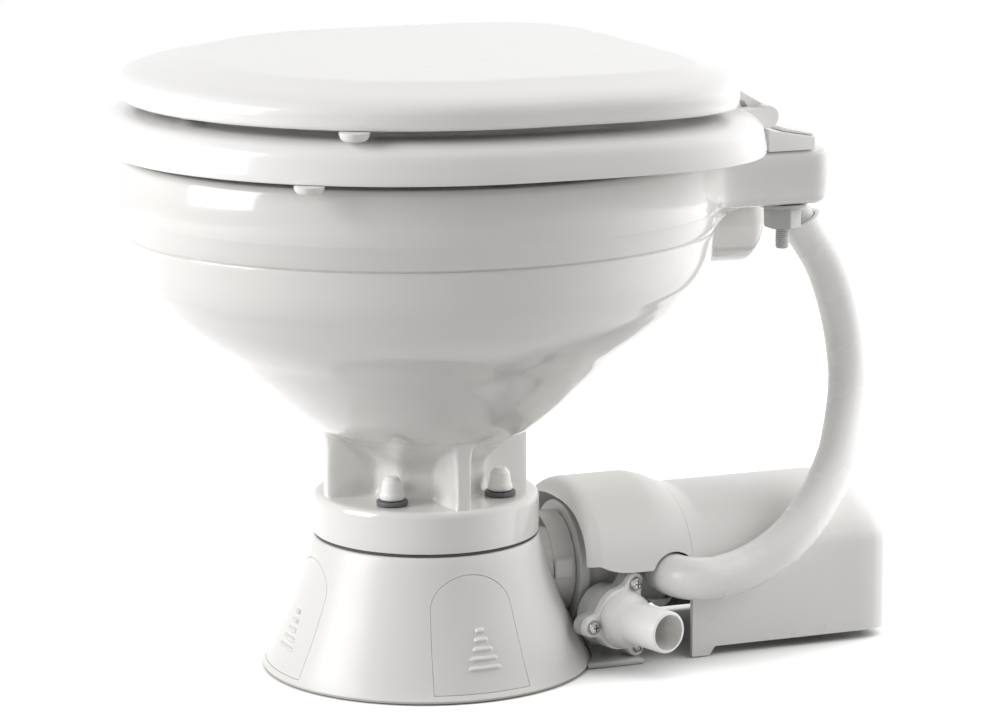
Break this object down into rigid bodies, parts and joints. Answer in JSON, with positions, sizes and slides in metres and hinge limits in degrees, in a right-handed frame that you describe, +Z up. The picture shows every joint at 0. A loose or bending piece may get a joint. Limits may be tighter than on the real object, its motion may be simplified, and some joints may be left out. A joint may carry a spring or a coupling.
{
  "type": "electric marine toilet",
  "caption": "Compact boat toilet: china bowl with hinged seat and lid on a moulded base, with a covered macerator pump and motor behind it, a discharge port and a rinse hose.",
  "frame": {"origin": "middle of the round base, on the floor", "axes": "+Z up, +Y from the base towards the pump, motor and seat hinge, -Y the front of the bowl, +X the side of the discharge port"},
  "size_m": [0.37, 0.4999, 0.3855],
  "materials": {
    "vitreous_china": "glossy white glazed china, opaque",
    "pump_plastic": "satin light grey moulded plastic",
    "cover_plastic": "semi-gloss off-white moulded plastic",
    "seat_plastic": "glossy white enamelled seat",
    "port_plastic": "semi-gloss white moulded plastic",
    "hose_vinyl": "smooth white stiff vinyl",
    "black_rubber": "matt black rubber",
    "white_rubber": "matt white soft rubber",
    "dark_plastic": "satin dark grey plastic",
    "stainless_steel": "plain stainless steel",
    "motor_enamel": "satin black enamel",
    "armature_iron": "plain turned steel"
  },
  "bodies": {
    "toilet": {"bowl": "vitreous_china", "bowl_base_seal": "black_rubber", "foot_bolt_1": "stainless_steel", "foot_bolt_2": "stainless_steel", "foot_bolt_3": "stainless_steel", "foot_bolt_4": "stainless_steel", "foot_washer_1": "dark_plastic", "foot_washer_2": "dark_plastic", "foot_washer_3": "dark_plastic", "foot_washer_4": "dark_plastic", "foot_cap_1": "white_rubber", "foot_cap_2": "white_rubber", "foot_cap_3": "white_rubber", "foot_cap_4": "white_rubber", "base": "pump_plastic", "access_panel_1": "pump_plastic", "access_panel_2": "pump_plastic", "access_panel_3": "pump_plastic", "macerator_housing": "pump_plastic", "chopper_plate": "stainless_steel", "discharge_port": "port_plastic", "joker_valve": "black_rubber", "discharge_screw_1": "stainless_steel", "discharge_screw_2": "stainless_steel", "discharge_screw_3": "stainless_steel", "flush_pump_body": "pump_plastic", "shaft_seal": "black_rubber", "motor_case": "motor_enamel", "motor_end_bell": "motor_enamel", "front_bearing": "stainless_steel", "motor_cover": "cover_plastic", "cable_grommet": "black_rubber", "rinse_hose": "hose_vinyl", "inlet_elbow": "pump_plastic", "inlet_seal": "black_rubber", "hinge_block_right": "seat_plastic", "hinge_block_left": "seat_plastic", "hinge_cap_right": "seat_plastic", "hinge_cap_left": "seat_plastic", "hinge_pin_right": "stainless_steel", "hinge_pin_left": "stainless_steel", "hinge_bolt_right": "pump_plastic", "hinge_bolt_left": "pump_plastic", "hinge_nut_right": "pump_plastic", "hinge_nut_left": "pump_plastic"},
    "seat": {"seat_ring": "seat_plastic", "seat_bumper_1": "white_rubber", "seat_bumper_2": "white_rubber", "seat_bumper_3": "white_rubber", "seat_bumper_4": "white_rubber"},
    "lid": {"lid": "seat_plastic", "lid_bumper_1": "white_rubber", "lid_bumper_2": "white_rubber", "lid_bumper_3": "white_rubber", "lid_bumper_4": "white_rubber"},
    "rotor": {"armature_shaft": "armature_iron", "macerator_blade": "stainless_steel", "centrifugal_impeller": "pump_plastic", "flexible_impeller": "black_rubber"}
  },
  "joints": [
    {"name": "seat_hinge", "type": "hinge", "parent": "toilet", "child": "seat", "pos_m": [0, 0.1875, 0.3478], "axis": [-1, 0, 0], "range_deg": [0, 95]},
    {"name": "lid_hinge", "type": "hinge", "parent": "seat", "child": "lid", "pos_m": [0, 0.1875, 0.3478], "axis": [-1, 0, 0], "range_deg": [0, 55]},
    {"name": "rotor_spin", "type": "hinge", "parent": "toilet", "child": "rotor", "pos_m": [0, 0.0935, 0.056], "axis": [0, 1, 0], "continuous": true}
  ]
}
